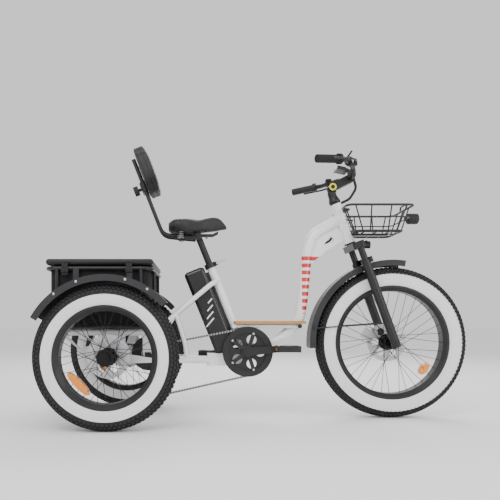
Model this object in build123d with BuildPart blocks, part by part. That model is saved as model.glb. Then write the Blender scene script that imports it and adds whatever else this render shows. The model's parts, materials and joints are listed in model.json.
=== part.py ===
from build123d import *
import os
from math import asin, atan2, cos, degrees, hypot, pi, radians, sin

# An adult tricycle with electric assist. Millimetres, +X forward, +Y to the rider's left, +Z up.
# The origin is on the ground, at the middle of the whole tricycle.

# Driving dimensions
FRONT_TYRE_R = 340.5  # 24 x 4.0
REAR_TYRE_R = 292.0  # 20 x 4.0
TYRE_HALF_WIDTH = 50.0
WHEELBASE = 1237.0
TRACK = 700.0
OVERALL_LENGTH = REAR_TYRE_R + WHEELBASE + FRONT_TYRE_R
GAP = 0.3  # clearance between pieces that move past each other
FIT = 0.05  # radial clearance of a shaft in its bore

FRONT_AXLE = (OVERALL_LENGTH / 2 - FRONT_TYRE_R, FRONT_TYRE_R)
REAR_AXLE = (REAR_TYRE_R - OVERALL_LENGTH / 2, REAR_TYRE_R)
BOTTOM_BRACKET = (-57.0, 300.0)
CRANK_LENGTH = 170.0
CRANK_PITCH = 5.5  # degrees above level, right crank forward

# Steering axis: NECK has its origin at the head tube's top, +Z up the steerer and +X ahead
NECK_ANGLE = 70.0
HEAD_TUBE_LENGTH = 187.0
HEAD_TUBE_R = 25.0
STEERER_R = 14.3
FORK_OFFSET = 17.7
AXLE_DROP = 674.3
NECK_UP = (-cos(radians(NECK_ANGLE)), 0, sin(radians(NECK_ANGLE)))
NECK_AHEAD = (sin(radians(NECK_ANGLE)), 0, cos(radians(NECK_ANGLE)))
NECK_TOP = (
    FRONT_AXLE[0] + AXLE_DROP * NECK_UP[0] - FORK_OFFSET * NECK_AHEAD[0],
    0,
    FRONT_AXLE[1] + AXLE_DROP * NECK_UP[2] - FORK_OFFSET * NECK_AHEAD[2],
)
NECK = Plane(origin=NECK_TOP, x_dir=NECK_AHEAD, z_dir=NECK_UP)

# Seat tube axis: SEAT has its origin low on the tube, +Z up the tube and +X ahead
SEAT_ANGLE = 67.9
SEAT_TUBE_LENGTH = 430.0
SEAT_TUBE_R = 19.0
POST_R = 15.0
SEAT_UP = (-cos(radians(SEAT_ANGLE)), 0, sin(radians(SEAT_ANGLE)))
SEAT_AHEAD = (sin(radians(SEAT_ANGLE)), 0, cos(radians(SEAT_ANGLE)))
SEAT = Plane(origin=(-64.8, 0, 295.7), x_dir=SEAT_AHEAD, z_dir=SEAT_UP)

MAIN_TUBE_R = 26.0
DECK_TOP = 437.0
DECK_THICKNESS = 13.0
DECK_HALF_WIDTH = 58.0
RAIL_R = 10.0
STAY_R = 11.0
SIDE_RAIL_Y = 200.0
SIDE_RAIL_Z = 391.0
AXLE_R = 8.0
CHAIN_Y = -50.0
DRIVE_CHAIN_Y = 50.0
CHAIN_HALF_WIDTH = 3.5
CHAIN_HALF_HEIGHT = 4.3
CHAINRING_R = 105.0
COG_R = 28.5
MOTOR = (-500.0, 292.0)
MOTOR_R = 78.0
DIFF_SPROCKET_R = 40.0
GUIDE_PULLEY = (-478.0, 222.0)
TENSION_PULLEY = (-492.0, 112.0)
PULLEY_R = 17.0

os.makedirs("parts", exist_ok=True)


def finish(block, label):
    """Name the finished piece and write it as its own STEP file."""
    block.part.label = label
    export_step(block.part, f"parts/{label}.step")
    print(label, len(block.part.solids()))


def tube(points, radius, bend=0.0, mode=Mode.ADD):
    """A round tube along straight runs, joined by bends of one radius or of a list of radii."""
    with BuildLine() as route:
        if len(points) == 2:
            Line(*points)
        else:
            FilletPolyline(*points, radius=bend)
    with BuildSketch(Plane(origin=route.line @ 0, z_dir=route.line % 0)) as section:
        Circle(radius)
    sweep(sections=section.sketch, path=route.line, mode=mode)


def ring_tube(corners, bend, radius):
    """A round tube bent into a closed loop with equally rounded corners."""
    with BuildLine() as route:
        FilletPolyline(*corners, radius=bend, close=True)
    with BuildSketch(Plane(origin=route.line @ 0, z_dir=route.line % 0)) as section:
        Circle(radius)
    sweep(sections=section.sketch, path=route.line)


def cross_rod(centre, radius, low, high, mode=Mode.ADD):
    """A round rod along Y through a point of the XZ plane."""
    with Locations(Location((centre[0], (low + high) / 2, centre[1]), (90, 0, 0))):
        Cylinder(radius, high - low, mode=mode)


def side_plate(points, low, high, mode=Mode.ADD):
    """A plate with a straight-sided outline in the XZ plane, from Y low to Y high."""
    with BuildSketch(Plane(origin=(0, high, 0), x_dir=(1, 0, 0), z_dir=(0, -1, 0))) as outline:
        Polygon(*points, align=None)
    extrude(outline.sketch, amount=high - low, mode=mode)


def plane_rod(plane, centre, radius, low, high, mode=Mode.ADD):
    """A round rod along a plane's normal, through a point of that plane."""
    with BuildSketch(plane.offset(low)) as disc:
        with Locations(centre):
            Circle(radius)
    extrude(disc.sketch, amount=high - low, mode=mode)


def plane_box(plane, x_span, y_span, z_span, corner=0.0, mode=Mode.ADD):
    """A block on a plane with its upright corners rounded."""
    with BuildSketch(plane.offset(z_span[0])) as outline:
        with Locations(((x_span[0] + x_span[1]) / 2, (y_span[0] + y_span[1]) / 2)):
            if corner:
                RectangleRounded(x_span[1] - x_span[0], y_span[1] - y_span[0], corner)
            else:
                Rectangle(x_span[1] - x_span[0], y_span[1] - y_span[0])
    extrude(outline.sketch, amount=z_span[1] - z_span[0], mode=mode)


def spun(centre, middle_y, outline, mode=Mode.ADD):
    """A ring about Y from an outline of (distance along Y, radius) points."""
    with BuildSketch(Plane(origin=(centre[0], middle_y, centre[1]), x_dir=(0, 1, 0), z_dir=(1, 0, 0))) as face:
        Polygon(*outline, align=None)
    revolve(face.sketch, axis=Axis((centre[0], 0, centre[1]), (0, 1, 0)), mode=mode)


def disc_outline(low, high, inner, outer):
    """The outline of a flat ring for spun."""
    return [(low, inner), (high, inner), (high, outer), (low, outer)]


def belt_band(circles, middle_y, half_height, half_width):
    """A belt or chain round circles of (x, z, radius, turn), where turn is +1 or -1."""
    runs = []
    for (x1, z1, r1, t1), (x2, z2, r2, t2) in zip(circles, circles[1:] + circles[:1]):
        heading = atan2(z2 - z1, x2 - x1) + asin((t1 * r1 - t2 * r2) / hypot(x2 - x1, z2 - z1))
        side = Vector(sin(heading), -cos(heading))
        runs.append((Vector(x1, z1) + side * t1 * r1, Vector(x2, z2) + side * t2 * r2))
    plane = Plane(origin=(0, middle_y + half_width, 0), x_dir=(1, 0, 0), z_dir=(0, -1, 0))
    with BuildSketch(plane) as band:
        for index, (start, end) in enumerate(runs):
            x, z, radius, turn = circles[index]
            arrive = runs[index - 1][1] - Vector(x, z)
            leave = start - Vector(x, z)
            first = degrees(atan2(arrive.Y, arrive.X))
            wrap = (degrees(atan2(leave.Y, leave.X)) - first) * turn % 360
            with BuildLine() as route:
                CenterArc((x, z), radius, first, wrap * turn)
            trace(route.line, line_width=2 * half_height)
            with BuildLine() as route:
                Line(start, end)
            trace(route.line, line_width=2 * half_height)
    extrude(band.sketch, amount=2 * half_width)


def mudguard(axle, middle_y, radius, half_width, low_angle, high_angle):
    """A mudguard round a wheel between two angles above level ahead, with lips at its edges."""
    ahead = radians(low_angle)
    radial = (cos(ahead), 0, sin(ahead))
    plane = Plane(origin=(axle[0], middle_y, axle[1]), x_dir=radial, z_dir=(sin(ahead), 0, -cos(ahead)))
    with BuildSketch(plane) as section:
        with Locations((radius, 0)):
            Rectangle(3, 2 * half_width)
        for edge in (-1, 1):
            with Locations((radius - 12, (half_width - 1.5) * edge)):
                Rectangle(26, 3)
    spin = Axis((axle[0], 0, axle[1]), (0, -1, 0))
    revolve(section.sketch, axis=spin, revolution_arc=high_angle - low_angle)


# ---------------------------------------------------------------------------------------------
# Main frame
# ---------------------------------------------------------------------------------------------
def make_front_frame():
    """Head tube, gusset, swept main tube, seat tube and bottom bracket shell, welded into one."""
    main_route = [
        (365, 0, 900),
        (243, 0, 827),
        (215, 0, 747),
        (197, 0, 546),
        (179, 0, 437),
        (107, 0, 359),
        BOTTOM_BRACKET[:1] + (0,) + BOTTOM_BRACKET[1:],
    ]
    with BuildPart() as front_frame:
        tube(main_route, MAIN_TUBE_R, [70, 200, 500, 120, 150])
        plane_rod(NECK, (0, 0), HEAD_TUBE_R, -HEAD_TUBE_LENGTH, 0)
        side_plate([(345, 885), (240, 810), (226, 690), (312, 762), (385, 805)], -7, 7)
        plane_rod(SEAT, (0, 0), SEAT_TUBE_R, 0, SEAT_TUBE_LENGTH)
        cross_rod(BOTTOM_BRACKET, 22, -36.5, 36.5)
        plane_box(Plane.XY, (-238, -75), (-30, 30), (236, 292), 8)
        side_plate([(322, 828), (292, 782), (345, 800)], -8, 8, Mode.SUBTRACT)
        plane_rod(NECK, (0, 0), 20, -HEAD_TUBE_LENGTH - 1, 1, Mode.SUBTRACT)
        plane_rod(SEAT, (0, 0), POST_R + FIT, 200, SEAT_TUBE_LENGTH + 1, Mode.SUBTRACT)
        cross_rod(BOTTOM_BRACKET, 17, -37, 37, Mode.SUBTRACT)
    finish(front_frame, "front_frame")
    return front_frame.part


def make_headset():
    """Two bearing cups pressed into the head tube."""
    with BuildPart() as headset_bearings:
        for end, outward in ((0, 1), (-HEAD_TUBE_LENGTH, -1)):
            inside = sorted((end, end - 14 * outward))
            lip = sorted((end, end + 7 * outward))
            plane_rod(NECK, (0, 0), 20, *inside)
            plane_rod(NECK, (0, 0), HEAD_TUBE_R, *lip)
        plane_rod(NECK, (0, 0), STEERER_R + FIT, -HEAD_TUBE_LENGTH - 8, 8, Mode.SUBTRACT)
    finish(headset_bearings, "headset_bearings")


def make_deck(front_frame):
    """Deck rails with cross tubes, and the foot board on top."""
    rail_z = DECK_TOP - DECK_THICKNESS - RAIL_R
    front_x = 174.0
    rear_x = -116.0
    plug_y = 66.0
    with BuildPart() as deck_frame:
        for side in (-1, 1):
            tube([(rear_x, 33 * side, rail_z), (front_x, 33 * side, rail_z)], RAIL_R)
        cross_rod((front_x, rail_z), RAIL_R, -plug_y, plug_y)
        cross_rod((rear_x, rail_z), RAIL_R, -43, 43)
        add(front_frame, mode=Mode.SUBTRACT)
    finish(deck_frame, "deck_frame")
    with BuildPart() as deck_board:
        with BuildSketch(Plane.XY.offset(DECK_TOP - DECK_THICKNESS)):
            with Locations((43.5, 0)):
                RectangleRounded(321, 2 * DECK_HALF_WIDTH, 12)
        extrude(amount=DECK_THICKNESS)
        plane_rod(SEAT, (0, 0), SEAT_TUBE_R + 1, 0, 300, Mode.SUBTRACT)
        tube([(145, 0, 395), (190, 0, 465)], MAIN_TUBE_R + 9, mode=Mode.SUBTRACT)
    finish(deck_board, "deck_board")


def make_rear_frame(front_frame):
    """Seat stays that run on as side rails, chain stays, cross members and axle plates."""
    rail_end = -880.0
    with BuildPart() as rear_frame:
        for side in (-1, 1):
            seat_stay = [
                (-184, 8 * side, 627),
                (-222, 62 * side, 600),
                (-395, 74 * side, 455),
                (-440, SIDE_RAIL_Y * side, SIDE_RAIL_Z),
                (rail_end, SIDE_RAIL_Y * side, SIDE_RAIL_Z),
            ]
            tube(seat_stay, STAY_R, [18, 50, 30])
            chain_stay = [(-225, 28 * side, 262), (-330, 30 * side, 262), (-452, 196 * side, 278)]
            tube(chain_stay, 15, 60)
            tube([(-380, 73 * side, 478), (-340, 70 * side, 350), (-326, 45 * side, 268)], 9, 90)
            side_plate(
                [(-870, 391), (-760, 300), (-700, 258), (-585, 258), (-440, 262), (-440, 292), (-500, 391)],
                *sorted((194 * side, 202 * side)),
            )
            side_plate(
                [(-522, 391), (-522, 292), (-512, 272), (-488, 272), (-478, 292), (-478, 391)],
                *sorted((84 * side, 92 * side)),
            )
        for x in (-500, rail_end):
            cross_rod((x, SIDE_RAIL_Z), STAY_R, -SIDE_RAIL_Y, SIDE_RAIL_Y)
        for side in (-1, 1):
            for window in (
                [(-830, 376), (-700, 376), (-700, 345), (-775, 320)],
                [(-585, 376), (-520, 376), (-470, 300), (-470, 282), (-585, 300)],
            ):
                side_plate(window, *sorted((190 * side, 206 * side)), Mode.SUBTRACT)
            cross_rod(REAR_AXLE, 20, *sorted((190 * side, 210 * side)), Mode.SUBTRACT)
        cross_rod(MOTOR, 7, -95, 95, Mode.SUBTRACT)
        add(front_frame, mode=Mode.SUBTRACT)
        plane_rod(SEAT, (0, 0), SEAT_TUBE_R, 0, SEAT_TUBE_LENGTH, Mode.SUBTRACT)
    finish(rear_frame, "rear_frame")


# ---------------------------------------------------------------------------------------------
# Wheels
# ---------------------------------------------------------------------------------------------
def make_wheel(name, axle, middle_y, tyre_r, flange_r, bore, disc_y, driven=0):
    """One wheel's tyre, rim, crossed spokes and hub. driven is the side of a wheel on its own half axle."""
    rim_r = tyre_r - 81.5
    tyre_middle = tyre_r - 42.5
    across = Plane(origin=(axle[0], middle_y, axle[1]), x_dir=(0, 1, 0), z_dir=(1, 0, 0))
    spin = Axis((axle[0], 0, axle[1]), (0, 1, 0))
    with BuildPart() as tyre:
        with BuildSketch(across):
            with Locations((0, tyre_middle)):
                Ellipse(TYRE_HALF_WIDTH, 42.5)
                Ellipse(TYRE_HALF_WIDTH - 5, 37.5, mode=Mode.SUBTRACT)
            with Locations((0, rim_r)):
                Rectangle(60, 20, mode=Mode.SUBTRACT)
            for side in (-1, 1):
                with Locations((31.5 * side, rim_r + 3)):
                    Rectangle(8, 18)
        revolve(axis=spin)
    finish(tyre, f"{name}_tyre")
    with BuildPart() as rim:
        with BuildSketch(across):
            Polygon(
                (-40, rim_r + 8), (-40, rim_r - 12), (-26, rim_r - 27), (26, rim_r - 27), (40, rim_r - 12),
                (40, rim_r + 8), (36, rim_r + 8), (36, rim_r - 9), (24, rim_r - 22), (-24, rim_r - 22),
                (-36, rim_r - 9), (-36, rim_r + 8), align=None,
            )
        revolve(axis=spin)
    finish(rim, f"{name}_rim")
    with BuildPart() as hub:
        spun(axle, middle_y, disc_outline(min(-45, disc_y - 1), max(45, disc_y + 1), bore, 20))
        for side in (-1, 1):
            spun(axle, middle_y, disc_outline(30 * side - 1.5, 30 * side + 1.5, 19, flange_r))
        spun(axle, middle_y, disc_outline(disc_y - 1, disc_y + 1, 19, 90))
        with Locations(Location((axle[0], middle_y + disc_y, axle[1]), (90, 0, 0))):
            with PolarLocations(54, 6):
                Cylinder(17, 6, mode=Mode.SUBTRACT)
        if driven:
            outer = 49 * driven
            cross_rod(axle, bore, *sorted((middle_y + outer, middle_y - driven * (TRACK / 2 - 36))))
            cross_rod(axle, 11.5, *sorted((middle_y + outer, middle_y + 44 * driven)))
    finish(hub, f"{name}_hub")
    with BuildPart() as spokes:
        for index in range(36):
            side = 1 if index % 2 else -1
            lead = 1 if index % 4 < 2 else -1
            rim_angle = 2 * pi * index / 36
            hub_angle = rim_angle + lead * radians(62)
            inner_y = middle_y + side * (30 + 3.2 * lead)
            outer_y = middle_y + side * (9 + lead)
            inner = (axle[0] + (flange_r - 1) * cos(hub_angle), inner_y, axle[1] + (flange_r - 1) * sin(hub_angle))
            outer = (axle[0] + (rim_r - 27.6) * cos(rim_angle), outer_y, axle[1] + (rim_r - 27.6) * sin(rim_angle))
            tube([inner, outer], 1.2)
    finish(spokes, f"{name}_spokes")


# ---------------------------------------------------------------------------------------------
# Rear axle and drive
# ---------------------------------------------------------------------------------------------
def make_drive():
    """Axle bearings and differential hangers, hub motor, freewheel, differential and both chains."""
    with BuildPart() as axle_mounts:
        cross_rod(MOTOR, 7, -95, 95)
        for side in (-1, 1):
            cross_rod(REAR_AXLE, 20, *sorted((190 * side, 210 * side)))
            cross_rod(REAR_AXLE, 30, *sorted((202 * side, 208 * side)))
            cross_rod(REAR_AXLE, 30, *sorted((62 * side, 72 * side)))
            side_plate([(-690, 391), (-660, 300), (-625, 300), (-595, 391)], *sorted((62 * side, 72 * side)))
            for x in (-690, -595):
                cross_rod((x, SIDE_RAIL_Z), 9, *sorted((62 * side, 188.5 * side)))
        cross_rod(REAR_AXLE, AXLE_R + FIT, -215, 215, Mode.SUBTRACT)
    finish(axle_mounts, "axle_mounts")
    with BuildPart() as hub_motor:
        cross_rod(MOTOR, MOTOR_R, -34, 34)
        chamfer(hub_motor.edges().filter_by(GeomType.CIRCLE), 6)
        cross_rod(MOTOR, 16, 34, 60)
        cross_rod(MOTOR, COG_R - CHAIN_HALF_HEIGHT - GAP, DRIVE_CHAIN_Y - 2, DRIVE_CHAIN_Y + 2)
        cross_rod(MOTOR, 7 + FIT, -100, 100, Mode.SUBTRACT)
    finish(hub_motor, "hub_motor")
    with BuildPart() as freewheel:
        for index in range(7):
            y = CHAIN_Y + 4 - 5 * index
            cross_rod(MOTOR, COG_R - CHAIN_HALF_HEIGHT - GAP if index < 3 else 20, y - 5, y)
        cross_rod(MOTOR, 7 + FIT, -100, 0, Mode.SUBTRACT)
        with Locations((MOTOR[0], -60, MOTOR[1])):
            Box(100, 36, 100, mode=Mode.INTERSECT)
    finish(freewheel, "freewheel")
    with BuildPart() as differential:
        cross_rod(REAR_AXLE, 46, -30, 30)
        fillet(differential.edges().filter_by(GeomType.CIRCLE), 10)
        cross_rod(REAR_AXLE, 22, 30, 60)
        cross_rod(REAR_AXLE, DIFF_SPROCKET_R - CHAIN_HALF_HEIGHT - GAP, DRIVE_CHAIN_Y - 2, DRIVE_CHAIN_Y + 2)
        cross_rod(REAR_AXLE, 22, -60, -30)
        cross_rod(REAR_AXLE, AXLE_R + FIT, -70, 70, Mode.SUBTRACT)
    finish(differential, "differential")
    with BuildPart() as main_chain:
        circles = [
            (*BOTTOM_BRACKET, CHAINRING_R, -1), (*TENSION_PULLEY, PULLEY_R, -1),
            (*GUIDE_PULLEY, PULLEY_R, 1), (*MOTOR, COG_R, -1),
        ]
        belt_band(circles, CHAIN_Y, CHAIN_HALF_HEIGHT, CHAIN_HALF_WIDTH)
    finish(main_chain, "main_chain")
    with BuildPart() as drive_chain:
        circles = [(*MOTOR, COG_R, -1), (*REAR_AXLE, DIFF_SPROCKET_R, -1)]
        belt_band(circles, DRIVE_CHAIN_Y, CHAIN_HALF_HEIGHT, CHAIN_HALF_WIDTH)
    finish(drive_chain, "drive_chain")


def make_derailleur():
    """The derailleur's body, its cage and the two pulleys in it."""
    with BuildPart() as rear_derailleur:
        for low, high in ((CHAIN_Y - 7, CHAIN_Y - 4), (CHAIN_Y + 4, CHAIN_Y + 7)):
            side_plate([(-466, 232), (-492, 232), (-506, 106), (-478, 100)], low, high)
        for centre in (GUIDE_PULLEY, TENSION_PULLEY):
            cross_rod(centre, PULLEY_R - CHAIN_HALF_HEIGHT - GAP, CHAIN_Y - 2.5, CHAIN_Y + 2.5)
            cross_rod(centre, 3, CHAIN_Y - 7, CHAIN_Y + 7)
        side_plate([(-466, 226), (-462, 250), (-484, 262), (-504, 250), (-496, 226)], -84, CHAIN_Y - 7)
        side_plate([(-484, 250), (-512, 262), (-512, 300), (-488, 300), (-462, 262)], -100, -93)
        side_plate([(-466, 240), (-462, 262), (-484, 268), (-504, 262), (-496, 240)], -100, -84)
        cross_rod(MOTOR, 7 + FIT, -110, -80, Mode.SUBTRACT)
    finish(rear_derailleur, "rear_derailleur")


# ---------------------------------------------------------------------------------------------
# Cranks and pedals
# ---------------------------------------------------------------------------------------------
def crank_end(side):
    """The pedal spindle's point at the end of one crank."""
    angle = radians(CRANK_PITCH)
    return (
        BOTTOM_BRACKET[0] - side * CRANK_LENGTH * cos(angle),
        BOTTOM_BRACKET[1] - side * CRANK_LENGTH * sin(angle),
    )


def make_cranks():
    """Bottom bracket, chainring with its guard, crank arms and both pedals."""
    with BuildPart() as bottom_bracket:
        cross_rod(BOTTOM_BRACKET, 17, -38, 38)
        cross_rod(BOTTOM_BRACKET, 8.5 + FIT, -40, 40, Mode.SUBTRACT)
    finish(bottom_bracket, "bottom_bracket")
    with BuildPart() as chainring:
        spun(BOTTOM_BRACKET, CHAIN_Y, disc_outline(-1.5, 1.5, 8.5, CHAINRING_R - CHAIN_HALF_HEIGHT - GAP))
        with Locations(Location((BOTTOM_BRACKET[0], CHAIN_Y, BOTTOM_BRACKET[1]), (90, 0, 0))):
            with PolarLocations(56, 5):
                Cylinder(22, 10, mode=Mode.SUBTRACT)
        spun(BOTTOM_BRACKET, CHAIN_Y, disc_outline(-8, -5, 84, 112))
        for index in range(5):
            angle = radians(72 * index + 36)
            spot = (BOTTOM_BRACKET[0] + 90 * cos(angle), BOTTOM_BRACKET[1] + 90 * sin(angle))
            cross_rod(spot, 5, CHAIN_Y - 5, CHAIN_Y - 1.5)
    finish(chainring, "chainring")
    with BuildPart() as crank_arms:
        for side in (-1, 1):
            end = crank_end(side)
            span = sorted((66 * side, 78 * side))
            with BuildSketch(Plane(origin=(0, span[1], 0), x_dir=(1, 0, 0), z_dir=(0, -1, 0))) as outline:
                with Locations(BOTTOM_BRACKET):
                    Circle(19)
                with Locations(end):
                    Circle(13)
                make_hull()
            extrude(outline.sketch, amount=span[1] - span[0])
            cross_rod(end, 6, *sorted((78 * side, 176 * side)))
        cross_rod(BOTTOM_BRACKET, 8.5, -78, 78)
    finish(crank_arms, "crank_arms")
    for side, label in ((-1, "right_pedal"), (1, "left_pedal")):
        end = crank_end(side)
        with BuildPart() as pedal:
            with Locations((end[0], 131 * side, end[1])):
                Box(104, 92, 26)
            fillet(pedal.edges().filter_by(Axis.Z), 14)
            with Locations((end[0] - 30, 131 * side, end[1]), (end[0] + 30, 131 * side, end[1])):
                Box(26, 64, 40, mode=Mode.SUBTRACT)
            cross_rod(end, 6 + FIT, *sorted((80 * side, 180 * side)), Mode.SUBTRACT)
        finish(pedal, label)


# ---------------------------------------------------------------------------------------------
# Battery and seat
# ---------------------------------------------------------------------------------------------
BACKREST_LEAN = radians(68.6)
BACKREST = Plane(
    origin=(-529, 0, 1060),
    x_dir=(sin(BACKREST_LEAN), 0, cos(BACKREST_LEAN)),
    z_dir=(-cos(BACKREST_LEAN), 0, sin(BACKREST_LEAN)),
)


def make_battery():
    """The battery on its cradle behind the seat tube, with the rail that it slides up."""
    with BuildPart() as battery_base:
        plane_box(SEAT, (-126, -29), (-45, 45), (48, 104), 14)
        plane_box(SEAT, (-30, -18.8), (-16, 16), (48, 400))
        plane_rod(SEAT, (0, 0), SEAT_TUBE_R, 0, SEAT_TUBE_LENGTH, Mode.SUBTRACT)
    finish(battery_base, "battery_base")
    with BuildPart() as battery:
        plane_box(SEAT, (-126, -31), (-45, 45), (104.3, 432), 18)
        fillet(battery.faces().sort_by(Axis(SEAT.origin, SEAT.z_dir))[-1].edges(), 16)
        plane_box(SEAT, (-31.2, -17), (-17, 17), (104, 433), mode=Mode.SUBTRACT)
    finish(battery, "battery")


def saddle_rail(side):
    """The bends of one steel rail under the saddle."""
    return [(-188, 22 * side, 838), (-212, 22 * side, 826), (-345, 22 * side, 826), (-372, 34 * side, 838)]


def make_seat():
    """Seat clamp and lever, seat post, saddle rails with the backrest tubes, and the saddle."""
    rim = SEAT_TUBE_LENGTH
    with BuildPart() as seat_clamp:
        plane_rod(SEAT, (0, 0), 25, rim - 18, rim + 4)
        plane_box(SEAT, (20, 38), (-11, 11), (rim - 16, rim + 2), 3)
        plane_rod(SEAT, (0, 0), SEAT_TUBE_R, rim - 19, rim, Mode.SUBTRACT)
        plane_rod(SEAT, (0, 0), POST_R + FIT, rim - 1, rim + 5, Mode.SUBTRACT)
        plane_box(SEAT, (17, 40), (-1.5, 1.5), (rim - 20, rim + 6), mode=Mode.SUBTRACT)
    finish(seat_clamp, "seat_clamp")
    with BuildPart() as seat_clamp_lever:
        plane_rod(SEAT, (32, -15), 3.6, rim - 14, rim)
        plane_box(SEAT, (33, 82), (-17.6, -13), (rim - 12, rim - 2), 2.2)
    finish(seat_clamp_lever, "seat_clamp_lever")
    with BuildPart() as seat_post:
        plane_rod(SEAT, (0, 0), POST_R, 300, 556)
    finish(seat_post, "seat_post")
    with BuildPart() as seat_rails:
        head = SEAT.from_local_coords((0, 0, 566))
        cross_rod((head.X, head.Z), 17, -29, 29)
        plane_rod(SEAT, (0, 0), POST_R, 300, 556, Mode.SUBTRACT)
        for side in (-1, 1):
            tube(saddle_rail(side), 4, 14)
            foot = BACKREST.from_local_coords((0, 34 * side, -252))
            top = BACKREST.from_local_coords((0, 34 * side, 110))
            tube([(-290, 34 * side, 810), foot, top], 9, 50)
        for x in (-240, -345):
            cross_rod((x, 820), 6, -30, 30)
    finish(seat_rails, "seat_frame")
    slope = radians(6)
    saddle_plane = Plane(origin=(-275, 0, 846), x_dir=(cos(slope), 0, sin(slope)), z_dir=(-sin(slope), 0, cos(slope)))
    with BuildPart() as saddle:
        with BuildSketch(saddle_plane):
            with BuildLine():
                Spline((-122, 0), (-118, 92), (-90, 120), (-30, 88), (40, 38), (110, 24), (126, 0))
                Spline((-122, 0), (-118, -92), (-90, -120), (-30, -88), (40, -38), (110, -24), (126, 0))
            make_face()
        extrude(amount=52)
        fillet(saddle.edges().group_by(Axis.Z)[-1], 14)
        for side in (-1, 1):
            tube(saddle_rail(side), 5, 14, mode=Mode.SUBTRACT)
    finish(saddle, "saddle")


def make_backrest():
    """Backrest pad, the plate that clamps it to its tubes, and the clamp knob."""
    plane = BACKREST
    with BuildPart() as backrest_plate:
        plane_box(plane, (10, 15), (-60, 60), (-50, 70), 0)
        for side in (-1, 1):
            plane_rod(plane, (0, 34 * side), 13, -42, 2)
        plane_box(plane, (-16, -4), (-30, 30), (-42, 2))
        for side in (-1, 1):
            plane_rod(plane, (0, 34 * side), 9 + FIT + GAP, -60, 100, Mode.SUBTRACT)
    finish(backrest_plate, "backrest_plate")
    with BuildPart() as backrest_pad:
        plane_box(plane, (15, 70), (-140, 140), (-62, 148), 0)
        fillet(backrest_pad.edges().filter_by(lambda edge: abs(edge.tangent_at(0.5).dot(plane.x_dir)) > 0.99), 60)
        fillet(backrest_pad.faces().sort_by(Axis(plane.origin, plane.x_dir))[-1].edges(), 22)
    finish(backrest_pad, "backrest_pad")
    with BuildPart() as backrest_knob:
        knob_plane = Plane(origin=plane.from_local_coords((-16.3, 0, -20)), z_dir=-plane.x_dir)
        plane_rod(knob_plane, (0, 0), 7, 0, 12)
        plane_rod(knob_plane, (0, 0), 22, 12, 34)
    finish(backrest_knob, "backrest_knob")


# ---------------------------------------------------------------------------------------------
# Cargo
# ---------------------------------------------------------------------------------------------
CARGO_X = (-905.0, -470.0)
CARGO_HALF_Y = 255.0
CARGO_BOTTOM = 412.0
CARGO_RAIL_Z = 655.0


def make_cargo():
    """The rear basket of round tube, the box in it, the hinged lid and the lamp plate behind."""
    low_x, high_x = CARGO_X
    wall = 5.0
    corners = [
        (low_x, -CARGO_HALF_Y), (high_x, -CARGO_HALF_Y), (high_x, CARGO_HALF_Y), (low_x, CARGO_HALF_Y),
    ]
    with BuildPart() as cargo_basket:
        for z in (CARGO_BOTTOM, CARGO_RAIL_Z):
            ring_tube([(x, y, z) for x, y in corners], 40, 8)
        for x, side in ((low_x + 45, -1), (high_x - 45, -1), (low_x + 45, 1), (high_x - 45, 1)):
            tube([(x, CARGO_HALF_Y * side, CARGO_BOTTOM), (x, CARGO_HALF_Y * side, CARGO_RAIL_Z)], 7)
        for y in (-120, 120):
            for x in CARGO_X:
                tube([(x, y, CARGO_BOTTOM), (x, y, CARGO_RAIL_Z)], 7)
        for x in (-850, -700, -530):
            tube([(x, -CARGO_HALF_Y, CARGO_BOTTOM), (x, CARGO_HALF_Y, CARGO_BOTTOM)], 5)
        with Locations((low_x - 10, 0, 560)):
            Box(5, 120, 60)
        for y in (-50, 50):
            tube([(low_x - 8, y, 560), (low_x - 8, y, CARGO_RAIL_Z)], 4)
        for y in (-40, 40):
            with Locations(Location((low_x - 10, y, 560), (0, 90, 0))):
                Cylinder(2.75, 20, mode=Mode.SUBTRACT)
    finish(cargo_basket, "cargo_basket")
    with BuildPart() as cargo_box:
        with Locations(((low_x + high_x) / 2, 0, (CARGO_BOTTOM + 8.3 + 668) / 2)):
            Box(high_x - low_x - 24, 2 * CARGO_HALF_Y - 24, 668 - CARGO_BOTTOM - 8.3)
        fillet(cargo_box.edges().filter_by(Axis.Z), 30)
        offset(amount=-wall, openings=cargo_box.faces().sort_by(Axis.Z)[-1])
    finish(cargo_box, "cargo_box")
    with BuildPart() as cargo_lid:
        with Locations(((low_x + high_x) / 2, 0, 682)):
            Box(high_x - low_x + 10, 2 * CARGO_HALF_Y - 10, 26)
        fillet(cargo_lid.edges().filter_by(Axis.Z), 30)
        fillet(cargo_lid.faces().sort_by(Axis.Z)[-1].edges(), 12)
    finish(cargo_lid, "cargo_lid")
    for side, label in ((-1, "right_rear_fender"), (1, "left_rear_fender")):
        with BuildPart() as rear_fender:
            mudguard(REAR_AXLE, side * TRACK / 2, 326, 55, 42, 151)
            for x in (-780, -560):
                lip_z = REAR_AXLE[1] + (314**2 - (x - REAR_AXLE[0]) ** 2) ** 0.5
                with Locations((x, side * 280, lip_z)):
                    Box(24, 34, 3)
                with Locations((x, side * 264.5, (lip_z + CARGO_RAIL_Z) / 2)):
                    Box(24, 3, CARGO_RAIL_Z - lip_z + 3)
        finish(rear_fender, label)


# ---------------------------------------------------------------------------------------------
# Steering, fork and front wheel
# ---------------------------------------------------------------------------------------------
LEG_Y = 78.0
LEG_R = 20.0
STANCHION_R = 15.0
FORK = Plane(origin=NECK.from_local_coords((FORK_OFFSET, 0, 0)), x_dir=NECK_AHEAD, z_dir=NECK_UP)


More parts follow.
